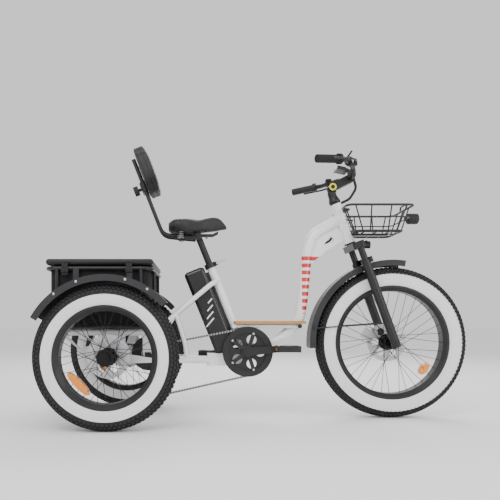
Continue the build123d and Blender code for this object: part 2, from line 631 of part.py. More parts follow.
def make_steering():
    """Steerer, crown and stanchions, the horn on the crown, and the stem's base."""
    with BuildPart() as fork_upper:
        plane_rod(NECK, (0, 0), STEERER_R, -215, 34)
        plane_box(NECK, (-14, 40), (-96, 96), (-226, -196), 12)
        for side in (-1, 1):
            plane_rod(FORK, (0, LEG_Y * side), STANCHION_R, -500, -200)
        plane_box(NECK, (38, 78), (-8, 8), (-222, -202))
        with Locations(Location((486, 0, 784), (0, 90, 0))):
            Cylinder(17, 34)
        tube([(438, 0, 764), (474, 0, 783)], 6)
    finish(fork_upper, "fork_upper")
    with BuildPart() as stem_base:
        with BuildSketch(Plane(origin=NECK_TOP, x_dir=NECK_AHEAD, z_dir=(0, -1, 0))) as profile:
            Polygon((0, 9), (26, 9), (26, 14), (20, 32), (18, 58), (0, 58), align=None)
        revolve(profile.sketch, axis=Axis(NECK_TOP, NECK_UP))
        plane_box(NECK, (-14, 22), (-12, 12), (50, 78), 6)
        cross_rod(STEM_PIVOT, 15, -12, 12)
        cross_rod(STEM_PIVOT, 6, -26, 26)
        plane_rod(NECK, (0, 0), STEERER_R, 0, 34, Mode.SUBTRACT)
    finish(stem_base, "stem_base")


STEM_PIVOT = (330.0, 1043.0)
BAR = (412.0, 1084.0)
BAR_R = 11.1


def side_point(point, side):
    """The same point on the left or the right."""
    return (point[0], point[1] * side, point[2])


BAR_ROUTE = [(412, 0, 1084), (412, 70, 1084), (392, 130, 1108), (330, 250, 1107), (206, 312, 1092)]
GRIP_DIR = (Vector(*BAR_ROUTE[-1]) - Vector(*BAR_ROUTE[-2])).normalized()


def grip_plane(side, distance):
    """A plane across one grip, at a distance from the bar's last bend towards its end."""
    centre = Vector(*BAR_ROUTE[-2]) + GRIP_DIR * distance
    return Plane(
        origin=side_point(centre.to_tuple(), side), x_dir=(0, 0, 1), z_dir=side_point(GRIP_DIR.to_tuple(), side),
    )


def grip(side):
    """A handlebar grip with a collar at its inner end, round the bar."""
    collar, body, end = 24, 38, 145
    with BuildSketch(grip_plane(side, collar)) as ring:
        Circle(22)
        Circle(BAR_R + FIT, mode=Mode.SUBTRACT)
    extrude(ring.sketch, amount=body - collar)
    with BuildSketch(grip_plane(side, body)) as sleeve:
        Circle(17)
        Circle(BAR_R + FIT, mode=Mode.SUBTRACT)
    extrude(sleeve.sketch, amount=140 - body)
    plane_rod(grip_plane(side, 0), (0, 0), 17, 140, end)


def make_bars():
    """Tilting stem arm, handlebar, grips, levers, shifter and the display."""
    with BuildPart() as stem_arm:
        with BuildSketch(Plane(origin=(0, 24, 0), x_dir=(1, 0, 0), z_dir=(0, -1, 0))) as outline:
            with Locations(STEM_PIVOT):
                Circle(17)
            with Locations(BAR):
                Circle(19)
            make_hull()
        extrude(outline.sketch, amount=48)
        with Locations((STEM_PIVOT[0] - 6, 0, STEM_PIVOT[1] - 6)):
            Box(100, 25, 70, mode=Mode.SUBTRACT)
        cross_rod(STEM_PIVOT, 6 + FIT, -30, 30, Mode.SUBTRACT)
        cross_rod(BAR, BAR_R, -30, 30, Mode.SUBTRACT)
    finish(stem_arm, "stem_arm")
    with BuildPart() as handlebar:
        for side in (-1, 1):
            tube([side_point(point, side) for point in BAR_ROUTE], BAR_R, [30, 60, 60])
        with Locations(Location((372, 0, 1122), (0, 12, 0))):
            Box(52, 74, 12)
        with Locations((400, -34, 1100)):
            Box(14, 10, 38)
        grip(1)
    finish(handlebar, "handlebar")
    with BuildPart() as throttle_grip:
        grip(-1)
    finish(throttle_grip, "throttle_grip")
    pivot = (384, 205, 1107)
    for side, label in ((1, "left_brake_lever"), (-1, "right_brake_lever")):
        with BuildPart() as lever:
            lever_route = [pivot, (372, 262, 1101), (345, 296, 1097), (262, 338, 1088)]
            tube([side_point(point, side) for point in lever_route], 4.5, [25, 25])
            with Locations(side_point(pivot, side)):
                Cylinder(8, 10)
        finish(lever, label)
    perch = Vector(*BAR_ROUTE[2]) + (Vector(*BAR_ROUTE[3]) - Vector(*BAR_ROUTE[2])) * 0.55
    perch_dir = (Vector(*BAR_ROUTE[3]) - Vector(*BAR_ROUTE[2])).normalized()
    with BuildPart() as bar_controls:
        for side in (-1, 1):
            ring = Plane(origin=side_point(perch.to_tuple(), side), z_dir=side_point(perch_dir.to_tuple(), side))
            plane_rod(ring, (0, 0), 16, -9, 9)
            with Locations(side_point((376, 204, 1096.5), side)):
                Box(30, 20, 9)
            with Locations(side_point((356, 196, 1124), side)):
                Box(24, 32, 8)
            plane_rod(ring, (0, 0), BAR_R, -30, 30, Mode.SUBTRACT)
    finish(bar_controls, "bar_controls")
    with BuildPart() as shift_lever:
        cross_rod((356, 1133), 4.6, -204, -196)
        tube([(356, -200, 1133), (372, -194, 1156)], 4)
    finish(shift_lever, "shift_lever")


def make_fork_lowers():
    """Lower fork legs with the arch and axle, the front mudguard on its rods, and the caliper."""
    with BuildPart() as fork_lowers:
        for side in (-1, 1):
            plane_rod(FORK, (0, LEG_Y * side), LEG_R, -696, -285)
            plane_box(FORK, (-12, 12), sorted((64 * side, 92 * side)), (-692, -656), 4)
        plane_box(FORK, (14, 32), (-92, 92), (-302, -276), 7)
        cross_rod(FRONT_AXLE, 6, -104, 104)
        for side in (-1, 1):
            plane_rod(FORK, (0, LEG_Y * side), STANCHION_R + FIT, -640, -270, Mode.SUBTRACT)
        cross_rod(FRONT_AXLE, 6, -104, 104)
    finish(fork_lowers, "fork_lowers")
    with BuildPart() as front_fender:
        mudguard(FRONT_AXLE, 0, 370, 48, 81, 184)
        for side in (-1, 1):
            tube([(246, 54 * side, 405), (546, 58.5 * side, 426)], 3)
            with Locations((246, 51 * side, 405)):
                Box(14, 8, 14)
    finish(front_fender, "front_fender")
    with BuildPart() as front_caliper:
        with Locations(Location((504, 49, 376), (0, 30, 0))):
            Box(44, 20, 50)
        with Locations(Location((520, 49, 367), (0, 30, 0))):
            Box(44, 4, 60, mode=Mode.SUBTRACT)
        with Locations((534, 57, 380)):
            Box(44, 4, 16)
    finish(front_caliper, "front_caliper")


def notched_ring(rear_x, notch_x, front_x, half_width, z):
    """Corners of a basket rail that bends round the head tube at its rear."""
    return [
        (rear_x, -half_width, z), (front_x, -half_width, z), (front_x, half_width, z), (rear_x, half_width, z),
        (rear_x, 48, z), (notch_x, 38, z), (notch_x, -38, z), (rear_x, -48, z),
    ]


def make_front_basket():
    """Wire basket on the head tube, its bracket, and the headlight."""
    bends = [30, 30, 30, 30, 9, 9, 9, 9]
    with BuildPart() as front_basket:
        ring_tube(notched_ring(366, 400, 655, 150, 939), bends, 5)
        ring_tube(notched_ring(383, 417, 643, 137, 889), bends, 3)
        ring_tube(notched_ring(410, 440, 620, 112, 833), bends, 4)
        for side in (-1, 1):
            for upper_x, lower_x in ((470, 474), (556, 552), (400, 442), (622, 590)):
                tube([(upper_x, 150 * side, 939), (lower_x, 112 * side, 833)], 3)
        for y, rear_top, rear_low in ((-75, 366, 410), (0, 400, 440), (75, 366, 410)):
            tube([(rear_top, y, 939), (rear_low, y, 833), (620, y, 833), (655, y, 939)], 3, 12)
        for x in (460, 515, 570):
            tube([(x, -112, 833), (x, 112, 833)], 3)
        tube([(655, -40, 939), (657, -40, 962), (657, 40, 962), (655, 40, 939)], 4, 12)
        side_plate([(370, 950), (376, 944), (396, 944), (391, 934), (366, 922)], -20, 20)
        side_plate([(394, 850), (398, 824), (580, 824), (580, 828.5), (432, 828.5), (422, 846)], -20, 20)
        plane_rod(NECK, (0, 0), HEAD_TUBE_R, -200, 10, Mode.SUBTRACT)
    finish(front_basket, "front_basket")
    with BuildPart() as headlight:
        with Locations(Location((697, 0, 902), (0, 90, 0))):
            Cylinder(24, 50)
        chamfer(headlight.edges().filter_by(GeomType.CIRCLE), 4)
        with Locations((668, 0, 902)):
            Box(16, 14, 14)
    finish(headlight, "headlight")


def make_cables():
    """The cable loom from the bars, and its end that enters the frame below the gusset."""
    with BuildPart() as control_cables:
        tube([(436, 34, 1102), (452, 36, 1050), (420, 36, 1000), (360, 34, 970)], 6, [40, 40])
    finish(control_cables, "control_cables")
    with BuildPart() as frame_cables:
        tube([(358, 32, 953), (363, 33, 905), (357, 33, 850), (322, 22, 800), (264, 14, 784)], 5, [60, 60, 50])
    finish(frame_cables, "frame_cables")


front_frame = make_front_frame()
make_headset()
make_deck(front_frame)
make_rear_frame(front_frame)
make_wheel("front", FRONT_AXLE, 0, FRONT_TYRE_R, 31, 6 + FIT, 49)
make_wheel("right_rear", REAR_AXLE, -TRACK / 2, REAR_TYRE_R, 34, AXLE_R, 60, -1)
make_wheel("left_rear", REAR_AXLE, TRACK / 2, REAR_TYRE_R, 34, AXLE_R, -60, 1)
make_drive()
make_derailleur()
make_cranks()
make_battery()
make_seat()
make_backrest()
make_cargo()
make_steering()
make_bars()
make_fork_lowers()
make_front_basket()
make_cables()
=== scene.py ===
import json
from math import cos, hypot, pi, radians, sin

import bpy
from mathutils import Matrix, Vector


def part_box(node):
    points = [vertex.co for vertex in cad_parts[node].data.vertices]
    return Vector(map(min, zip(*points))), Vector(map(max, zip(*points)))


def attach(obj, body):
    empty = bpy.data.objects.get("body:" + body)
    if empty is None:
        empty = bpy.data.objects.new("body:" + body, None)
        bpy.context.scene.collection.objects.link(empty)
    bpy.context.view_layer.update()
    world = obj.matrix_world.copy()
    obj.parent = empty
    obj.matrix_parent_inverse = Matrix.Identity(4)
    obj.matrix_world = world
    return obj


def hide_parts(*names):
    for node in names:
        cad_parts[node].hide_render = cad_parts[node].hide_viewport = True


bl_info = {
    "name": "Adult tricycle finish",
    "version": (1, 0, 0),
    "blender": (4, 5, 0),
    "location": "View3D > Sidebar > Tricycle",
    "description": "Adds tyres, seat covers, fittings and materials round the tricycle's fixed frame",
    "category": "Object",
}

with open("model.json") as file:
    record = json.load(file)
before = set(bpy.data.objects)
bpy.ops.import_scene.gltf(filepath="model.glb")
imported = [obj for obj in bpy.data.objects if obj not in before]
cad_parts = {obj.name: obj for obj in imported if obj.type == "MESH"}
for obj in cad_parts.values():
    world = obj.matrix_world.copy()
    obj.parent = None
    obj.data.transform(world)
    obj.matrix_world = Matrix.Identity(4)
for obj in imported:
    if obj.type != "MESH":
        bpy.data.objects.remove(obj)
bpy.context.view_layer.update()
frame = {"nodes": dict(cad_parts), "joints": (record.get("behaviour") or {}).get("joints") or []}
NODES = frame["nodes"]
JOINTS = {joint["name"]: joint for joint in frame["joints"]}
BACKREST_LEAN = radians(68.6)
SEAT_TUBE_LEAN = radians(67.9)
TYRE_SECTION_R = 0.0425
TYRE_STRETCH = 1.28  # width of the tyre's section over its height
WHITEWALL_DEPTH = 0.05  # from the middle of the tyre's section in towards the rim
WHITEWALL_RISE = {"front": 0.0105, "right_rear": 0.001, "left_rear": 0.001}  # and out towards the tread
HUB_SHELL_R = 0.0365
FENDER_BOLT_REACH = 0.317  # from the wheel's axle
FENDER_BOLT_Y = 0.05512  # either side of the fender's middle
CRANK_BOLT_REACH = 0.084
TOOTH_REACH = 0.103
CHAIN_Y = -0.05
CHAIN_PITCH = 0.0127
CHAINRING_TEETH = 52
CHAINRING_ARMS = 5
PLANK_HALF_WIDTH = 0.0145
CAMERA_SHIFT = (0.10, 0.142)


def middle(node):
    """The centre of a frame node's box."""
    low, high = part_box(node)
    return (low + high) / 2


def tyre_sizes(name):
    """Axle centre and outer radius of one wheel's tyre."""
    low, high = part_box(f"{name}_tyre")
    return (low + high) / 2, (high.z - low.z) / 2


# ------------------------------------------------------------------------------------------ settings
class StageSettings(bpy.types.PropertyGroup):
    camera_distance: bpy.props.FloatProperty(
        name="Camera distance", description="From the tricycle's middle plane to the camera",
        default=2.708, subtype="DISTANCE", unit="LENGTH")
    camera_height: bpy.props.FloatProperty(
        name="Camera height", description="Height of the camera above the floor",
        default=0.437, subtype="DISTANCE", unit="LENGTH")
    camera_forward: bpy.props.FloatProperty(
        name="Camera place", description="Where the camera stands along the tricycle",
        default=-0.27, subtype="DISTANCE", unit="LENGTH")
    lens: bpy.props.FloatProperty(name="Lens", description="Focal length in millimetres", default=42.8)


class TyreSettings(bpy.types.PropertyGroup):
    rubber: bpy.props.FloatVectorProperty(
        name="Rubber", description="Colour of the tread", default=(0.022, 0.022, 0.023), subtype="COLOR")
    whitewall: bpy.props.FloatVectorProperty(
        name="Whitewall", description="Colour of the side band", default=(0.8, 0.8, 0.79), subtype="COLOR")
    knob_height: bpy.props.FloatProperty(
        name="Knob height", description="How far the tread blocks stand out of the casing",
        default=0.006, subtype="DISTANCE", unit="LENGTH")
    knob_spacing: bpy.props.FloatProperty(
        name="Knob spacing", description="From one tread block to the next round the tyre",
        default=0.020, subtype="DISTANCE", unit="LENGTH")


class SeatSettings(bpy.types.PropertyGroup):
    cover: bpy.props.FloatVectorProperty(
        name="Cover", description="Colour of the saddle and backrest covers", default=(0.02, 0.02, 0.021),
        subtype="COLOR")
    piping: bpy.props.FloatProperty(
        name="Piping", description="Thickness of the sewn piping", default=0.005, subtype="DISTANCE",
        unit="LENGTH")


class PaintSettings(bpy.types.PropertyGroup):
    body: bpy.props.FloatVectorProperty(
        name="Frame paint", description="Colour of the frame", default=(0.86, 0.86, 0.87), subtype="COLOR")
    accent: bpy.props.FloatVectorProperty(
        name="Accent", description="Colour of the decal bars", default=(0.6, 0.02, 0.02), subtype="COLOR")
    reflector: bpy.props.FloatVectorProperty(
        name="Reflectors", description="Colour of the wheel reflectors", default=(1.0, 0.30, 0.0),
        subtype="COLOR")


# ------------------------------------------------------------------------------------------ materials
class Wire:
    """One shader value; arithmetic on it adds Math nodes."""

    def __init__(self, finish, socket):
        self.finish = finish
        self.socket = socket

    def join(self, operation, other, swapped=False):
        pair = (other, self) if swapped else (self, other)
        return self.finish.node("ShaderNodeMath", {"operation": operation}, {0: pair[0], 1: pair[1]})

    def __add__(self, other):
        return self.join("ADD", other)

    def __sub__(self, other):
        return self.join("SUBTRACT", other)

    def __rsub__(self, other):
        return self.join("SUBTRACT", other, True)

    def __mul__(self, other):
        return self.join("MULTIPLY", other)

    def __gt__(self, other):
        return self.join("GREATER_THAN", other)

    def __lt__(self, other):
        return self.join("LESS_THAN", other)

    __radd__ = __add__
    __rmul__ = __mul__


class Finish:
    """One procedural material."""

    def __init__(self, name, roughness=0.5, metallic=0.0, coat=0.0, gloss=0.5):
        self.material = bpy.data.materials.new(name)
        self.material.use_nodes = True
        self.tree = self.material.node_tree
        self.shader = self.tree.nodes["Principled BSDF"]
        self.shader.inputs["Roughness"].default_value = roughness
        self.shader.inputs["Metallic"].default_value = metallic
        self.shader.inputs["Coat Weight"].default_value = coat
        self.shader.inputs["Specular IOR Level"].default_value = gloss
        self.place = self.node("ShaderNodeTexCoord", {}, {}, "Object")

    def node(self, kind, settings, sockets, output=0):
        made = self.tree.nodes.new(kind)
        for name, value in settings.items():
            setattr(made, name, value)
        for name, value in sockets.items():
            if isinstance(value, Wire):
                self.tree.links.new(value.socket, made.inputs[name])
            else:
                made.inputs[name].default_value = value
        return Wire(self, made.outputs[output])

    def set(self, name, value):
        if isinstance(value, Wire):
            self.tree.links.new(value.socket, self.shader.inputs[name])
        else:
            self.shader.inputs[name].default_value = value

    def noise(self, scale, detail=3.0, roughness=0.5):
        sockets = {"Vector": self.place, "Scale": scale, "Detail": detail, "Roughness": roughness}
        return self.node("ShaderNodeTexNoise", {}, sockets)

    def cells(self, scale, feature="F1"):
        return self.node("ShaderNodeTexVoronoi", {"feature": feature}, {"Vector": self.place, "Scale": scale})

    def waves(self, scale, direction="X", distortion=0.0):
        settings = {"wave_type": "BANDS", "bands_direction": direction}
        return self.node("ShaderNodeTexWave", settings,
                         {"Vector": self.place, "Scale": scale, "Distortion": distortion})

    def blend(self, factor, first, second):
        """A colour between two colours."""
        made = self.tree.nodes.new("ShaderNodeMix")
        made.data_type = "RGBA"
        for index, value in ((0, factor), (6, first), (7, second)):
            if isinstance(value, Wire):
                self.tree.links.new(value.socket, made.inputs[index])
            else:
                made.inputs[index].default_value = (*value, 1.0) if index else value
        return Wire(self, made.outputs[2])

    def bump(self, height, strength, distance=0.001):
        sockets = {"Height": height, "Strength": strength, "Distance": distance}
        self.set("Normal", self.node("ShaderNodeBump", {}, sockets))

    def axis(self, index):
        """One object coordinate."""
        return self.node("ShaderNodeSeparateXYZ", {}, {0: self.place}, index)


def shade(colour, amount):
    """A colour made lighter or darker."""
    return tuple(min(1.0, channel * amount) for channel in colour)


def frame_paint(name, colour, accent=None, box=None):
    """Gloss enamel with faint orange peel, and a row of plain decal bars inside a box."""
    finish = Finish(name, 0.22, 0.0, 0.6)
    base = finish.blend(finish.noise(9, 2), shade(colour, 0.94), colour)
    if box:
        x, z = finish.axis(0), finish.axis(2)
        low_x, high_x, low_z, high_z, bar = box
        inside = (x > low_x) * (x < high_x) * (z > low_z) * (z < high_z)
        bars = finish.node("ShaderNodeMath", {"operation": "PINGPONG"}, {0: z, 1: bar}) > bar * 0.42
        base = finish.blend(inside * bars, base, accent)
    finish.set("Base Color", base)
    finish.bump(finish.noise(420, 2), 0.04, 0.0004)
    return finish.material


def dark_metal(name, colour, roughness=0.35):
    """Black powder coat or anodised metal, with fine texture and worn, lighter patches."""
    finish = Finish(name, roughness, 0.1, 0.03, 0.3)
    wear = finish.noise(38, 6, 0.65)
    finish.set("Base Color", finish.blend(wear, shade(colour, 0.75), shade(colour, 1.7)))
    finish.set("Roughness", finish.noise(60, 4) * 0.25 + (roughness - 0.1))
    finish.bump(finish.noise(900, 2), 0.10, 0.0003)
    return finish.material


def bare_metal(name, colour, roughness=0.28, direction="X"):
    """Brushed or machined metal."""
    finish = Finish(name, roughness, 1.0)
    lines = finish.waves(260, direction, 2.0)
    finish.set("Base Color", finish.blend(finish.noise(24, 4), shade(colour, 0.78), colour))
    finish.set("Roughness", lines * 0.12 + roughness)
    finish.bump(lines, 0.05, 0.0002)
    return finish.material


def chain_links(name, colour):
    """Roller chain: side plates, with painted shade in the gaps between them, along the chain's run."""
    finish = Finish(name, 0.32, 0.9)
    plates_and_gap_shade = finish.waves(1 / (CHAIN_PITCH * pi))
    # painted shade: the gaps between the side plates are a darkened copy of the chain steel
    finish.set("Base Color", finish.blend(plates_and_gap_shade, shade(colour, 0.15), colour))
    finish.set("Roughness", finish.noise(80, 3) * 0.2 + 0.25)
    finish.bump(plates_and_gap_shade, 0.5, 0.0015)
    return finish.material


def hub_and_disc(name, centre):
    """Black hub shell within a machined brake disc."""
    finish = Finish(name, 0.3, 0.9, 0.0, 0.4)
    x = finish.axis(0) - centre.x
    z = finish.axis(2) - centre.z
    radius = finish.node("ShaderNodeMath", {"operation": "SQRT"}, {0: x * x + z * z})
    disc = radius > HUB_SHELL_R
    wear = finish.noise(40, 4)
    rings = finish.node("ShaderNodeMath", {"operation": "SINE"}, {0: radius * 9000.0})
    finish.set("Base Color", finish.blend(disc, (0.02, 0.02, 0.021), (0.55, 0.55, 0.57)))
    finish.set("Roughness", wear * 0.15 + 0.25)
    finish.bump(rings * disc + wear, 0.12, 0.0003)
    return finish.material


def plastic(name, colour, roughness=0.5, grain=600, depth=0.12, coat=0.0):
    """Moulded plastic or rubber with a fine grain."""
    finish = Finish(name, roughness, 0.0, coat, 0.25)
    finish.set("Base Color", finish.blend(finish.noise(14, 4), shade(colour, 0.75), shade(colour, 1.35)))
    finish.set("Roughness", finish.noise(45, 3) * 0.2 + (roughness - 0.1))
    finish.bump(finish.cells(grain), depth, 0.0004)
    return finish.material


def ribbed_rubber(name, colour, ribs_scale=90):
    """Grip rubber with fine ribs across it, with painted shade in the grooves and a painted highlight on the rib
    tops.
    """
    finish = Finish(name, 0.75, gloss=0.2)
    ribs_with_painted_shade = finish.waves(ribs_scale)
    # painted shade in the grooves and painted highlight on the rib tops, from the same field as the bump
    finish.set("Base Color", finish.blend(ribs_with_painted_shade, shade(colour, 0.6), shade(colour, 1.5)))
    finish.bump(ribs_with_painted_shade, 0.5, 0.0012)
    return finish.material


def leather(name, colour):
    """Grained cover with creases, with painted shade in the creases and a painted highlight on the raised parts."""
    finish = Finish(name, 0.52, 0.0, 0.0, 0.3)
    grain = finish.cells(330, "DISTANCE_TO_EDGE")
    creases_with_painted_shade = finish.noise(26, 5, 0.6)
    # painted shade in the creases and painted highlight on the raised parts, from the same noise as the bump
    finish.set("Base Color", finish.blend(creases_with_painted_shade, shade(colour, 0.7), shade(colour, 1.7)))
    finish.set("Roughness", creases_with_painted_shade * 0.25 + 0.38)
    finish.bump(grain * 0.7 + creases_with_painted_shade * 0.8, 0.35, 0.0012)
    return finish.material


def canvas(name, colour):
    """Coarse woven cloth, with painted shade between the threads."""
    finish = Finish(name, 0.85, gloss=0.15)
    weave_with_painted_shade = finish.waves(190) * 0.5 + finish.waves(190, "Z") * 0.5
    # painted shade between the threads and lighter thread tops, from the same field as the bump
    finish.set("Base Color", finish.blend(weave_with_painted_shade, shade(colour, 0.55), shade(colour, 1.5)))
    finish.set("Roughness", finish.noise(30, 3) * 0.15 + 0.78)
    finish.bump(weave_with_painted_shade + finish.noise(12, 4), 0.45, 0.0012)
    return finish.material


def deck_wood(name):
    """Oiled hardwood planks, grain along the deck."""
    finish = Finish(name, 0.42, 0.0, 0.2)
    stretched = finish.node("ShaderNodeMapping", {}, {"Vector": finish.place, "Scale": (2.5, 34.0, 34.0)})
    grain = finish.node("ShaderNodeTexNoise", {},
                        {"Vector": stretched, "Scale": 3.0, "Detail": 8.0, "Roughness": 0.65})
    base = finish.blend(grain, (0.26, 0.10, 0.028), (0.68, 0.36, 0.13))
    across = finish.axis(1) + PLANK_HALF_WIDTH
    plank = finish.node("ShaderNodeMath", {"operation": "PINGPONG"}, {0: across, 1: PLANK_HALF_WIDTH})
    gap = plank < 0.0009
    finish.set("Base Color", finish.blend(gap, base, (0.05, 0.02, 0.01)))
    finish.set("Roughness", grain * 0.25 + 0.33)
    finish.bump(grain - gap * 2.0, 0.3, 0.0008)
    return finish.material


def tyre_rubber(name, centre, wall_inner, wall_outer, rubber, whitewall):
    """Black tread with a white band on each side wall."""
    finish = Finish(name, 0.62, gloss=0.2)
    x = finish.axis(0) - centre.x
    z = finish.axis(2) - centre.z
    radius = finish.node("ShaderNodeMath", {"operation": "SQRT"}, {0: x * x + z * z})
    band = (radius > wall_inner) * (radius < wall_outer)
    grime = finish.noise(20, 5, 0.6)
    dark = finish.blend(grime, shade(rubber, 0.7), shade(rubber, 1.8))
    light = finish.blend(grime, shade(whitewall, 0.9), whitewall)
    finish.set("Base Color", finish.blend(band, dark, light))
    finish.set("Roughness", grime * 0.2 + 0.5)
    rings = finish.node("ShaderNodeMath", {"operation": "SINE"}, {0: radius * 2400.0})
    finish.bump(rings * (1 - band) + finish.noise(500, 2) * 0.6, 0.2, 0.0006)
    return finish.material


def prism_lens_with_painted_glow(name, colour):
    """Moulded reflector with prism cells, a painted glow and painted sparkle brightest in each cell's middle."""
    finish = Finish(name, 0.12, 0.0, 0.8)
    cells = finish.cells(420)
    # painted sparkle: each prism cell lighter in its middle and darker at its edges
    finish.set("Base Color", finish.blend(cells, shade(colour, 1.0), shade(colour, 0.55)))
    # painted glow: the lens gives off light of its own though it is no lamp
    finish.set("Emission Color", finish.blend(cells, colour, shade(colour, 0.5)))
    finish.shader.inputs["Emission Strength"].default_value = 0.12
    finish.bump(cells, 0.5, 0.001)
    return finish.material


# ------------------------------------------------------------------------------------------ modelling
def begin():
    """Leave edit mode with nothing selected."""
    if bpy.context.object and bpy.context.object.mode != "OBJECT":
        bpy.ops.object.mode_set(mode="OBJECT")
    bpy.ops.object.select_all(action="DESELECT")


def only(piece):
    """Make one piece the selected, active one."""
    begin()
    piece.select_set(True)
    bpy.context.view_layer.objects.active = piece


def modify(piece, kind, **settings):
    """Add a modifier and apply it."""
    only(piece)
    modifier = piece.modifiers.new(kind.lower(), kind)
    for name, value in settings.items():
        setattr(modifier, name, value)
    bpy.ops.object.modifier_apply(modifier=modifier.name)


def rounded_block(centre, size, turn=(0, 0, 0), edge=0.0015, segments=2):
    """A block with bevelled edges, at its size and place."""
    begin()
    bpy.ops.mesh.primitive_cube_add(size=1, location=centre, rotation=turn, scale=size)
    piece = bpy.context.object
    bpy.ops.object.transform_apply(location=True, rotation=True, scale=True)
    modify(piece, "BEVEL", width=edge, segments=segments)
    return piece


def turned_disc(centre, radius, depth, turn=(pi / 2, 0, 0), sides=32, edge=0.001):
    """A short round piece with softened rims, its axis along Y unless turned."""
    begin()
    bpy.ops.mesh.primitive_cylinder_add(vertices=sides, radius=radius, depth=depth, location=centre, rotation=turn)
    piece = bpy.context.object
    bpy.ops.object.transform_apply(location=True, rotation=True, scale=True)
    modify(piece, "BEVEL", width=edge, segments=2, limit_method="ANGLE", angle_limit=radians(50))
    return piece


def piping_cord(points, radius):
    """Round piping, closed on itself, that follows a ring of points."""
    begin()
    curve = bpy.data.curves.new("piping", "CURVE")
    curve.dimensions = "3D"
    curve.bevel_depth = radius
    curve.bevel_resolution = 3
    spline = curve.splines.new("NURBS")
    spline.points.add(len(points) - 1)
    for point, place in zip(spline.points, points):
        point.co = (*place, 1)
    spline.use_cyclic_u = True
    spline.order_u = 3
    spline.use_endpoint_u = False
    spline.resolution_u = 6
    curve.use_fill_caps = False
    piece = bpy.data.objects.new("piping", curve)
    bpy.context.scene.collection.objects.link(piece)
    only(piece)
    bpy.ops.object.convert(target="MESH")
    return bpy.context.object


def joined(pieces):
    """Several meshes made one."""
    begin()
    for piece in pieces:
        piece.select_set(True)
    bpy.context.view_layer.objects.active = pieces[0]
    if len(pieces) > 1:
        bpy.ops.object.join()
    return pieces[0]


def round_axle(piece, count, centre):
    """Copies of a piece round an axle along Y."""
    bpy.ops.object.empty_add()
    guide = bpy.context.object
    turn = Matrix.Rotation(2 * pi / count, 4, "Y")
    guide.matrix_world = Matrix.Translation(centre) @ turn @ Matrix.Translation(-Vector(centre))
    bpy.context.view_layer.update()
    modify(piece, "ARRAY", count=count, use_relative_offset=False, use_object_offset=True, offset_object=guide)
    bpy.data.objects.remove(guide)
    return piece


def settle(piece, name, body, material, replaced=()):
    """Name a finished piece, give it its finish, and let it move with its body."""
    only(piece)
    bpy.ops.object.transform_apply(location=True, rotation=True, scale=True)
    bpy.ops.object.mode_set(mode="EDIT")
    bpy.ops.mesh.select_all(action="SELECT")
    bpy.ops.mesh.normals_make_consistent(inside=False)
    bpy.ops.object.mode_set(mode="OBJECT")
    bpy.ops.object.shade_smooth_by_angle(angle=radians(35))
    piece.name = name
    piece.data.name = name
    piece.data.materials.clear()
    piece.data.materials.append(material)
    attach(piece, body)
    if replaced:
        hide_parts(*replaced)
    return piece


def along(points, share):
    """The height between the two points of a profile that a share falls between, eased."""
    for (start, first), (end, second) in zip(points, points[1:]):
        if share <= end:
            part = (share - start) / (end - start)
            part = part * part * (3 - 2 * part)
            return first + (second - first) * part
    return points[-1][1]


def shaped_cushion(place, cuts):
    """A cube cut fine, with every corner moved by place(u, v, w), each from -1 to 1."""
    begin()
    bpy.ops.mesh.primitive_cube_add(size=2)
    piece = bpy.context.object
    bpy.ops.object.mode_set(mode="EDIT")
    bpy.ops.mesh.subdivide(number_cuts=cuts)
    bpy.ops.object.mode_set(mode="OBJECT")
    for vertex in piece.data.vertices:
        vertex.co = place(*vertex.co)
    modify(piece, "SUBSURF", levels=2, render_levels=2)
    return piece


# ------------------------------------------------------------------------------------------ pieces
class MakeTyres(bpy.types.Operator):
    """Knobbly whitewall tyres on the three rims"""

    bl_idname = "tricycle.tyres"
    bl_label = "Tyres"

    def execute(self, context):
        settings = context.scene.tricycle_tyres
        for name in ("front", "right_rear", "left_rear"):
            self.make(name, settings)
        return {"FINISHED"}

    def make(self, name, settings):
        centre, outer = tyre_sizes(name)
        ring = outer - TYRE_SECTION_R
        casing = TYRE_SECTION_R - settings.knob_height
        half_width = casing * TYRE_STRETCH
        begin()
        bpy.ops.mesh.primitive_torus_add(
            location=centre, rotation=(pi / 2, 0, 0), major_radius=ring, minor_radius=casing,
            major_segments=120, minor_segments=28)
        body = bpy.context.object
        body.scale = (1, 1, TYRE_STRETCH)
        bpy.ops.object.transform_apply(location=True, rotation=True, scale=True)
        for vertex in body.data.vertices:
            offset = vertex.co - centre
            radius = hypot(offset.x, offset.z)
            depth = (ring - radius) / casing
            if depth > 0 and abs(offset.y) > 1e-4:
                side = 1 if offset.y > 0 else -1
                inner = (ring - (ring - radius) * 1.16) / radius
                vertex.co = centre + Vector((
                    offset.x * inner, side * half_width * (1 - 0.16 * depth ** 5), offset.z * inner))
        count = round(2 * pi * outer / settings.knob_spacing)
        rows = [(9, 0.0, 0.012), (30, 0.5, 0.011), (51, 0.0, 0.010), (71, 0.5, 0.010)]
        parts = [body]
        for lean, step, width in rows:
            for side in (-1, 1):
                angle = radians(lean)
                y = side * half_width * sin(angle)
                reach = ring + casing * cos(angle) + settings.knob_height * 0.2
                knob = rounded_block(
                    (centre.x, centre.y + y, centre.z + reach), (0.013, width, settings.knob_height * 1.6),
                    (-side * angle * 0.85, 0, 0), 0.001, 1)
                knob.data.transform(
                    Matrix.Translation(centre) @ Matrix.Rotation(2 * pi * step / count + side * 0.004, 4, "Y")
                    @ Matrix.Translation(-centre))
                parts.append(round_axle(knob, count, centre))
        tyre = joined(parts)
        finish = tyre_rubber(
            f"{name} tyre rubber", centre, ring - WHITEWALL_DEPTH, ring + WHITEWALL_RISE[name],
            settings.rubber, settings.whitewall)
        settle(tyre, f"{name}_tread", f"{name}_wheel", finish, (f"{name}_tyre",))


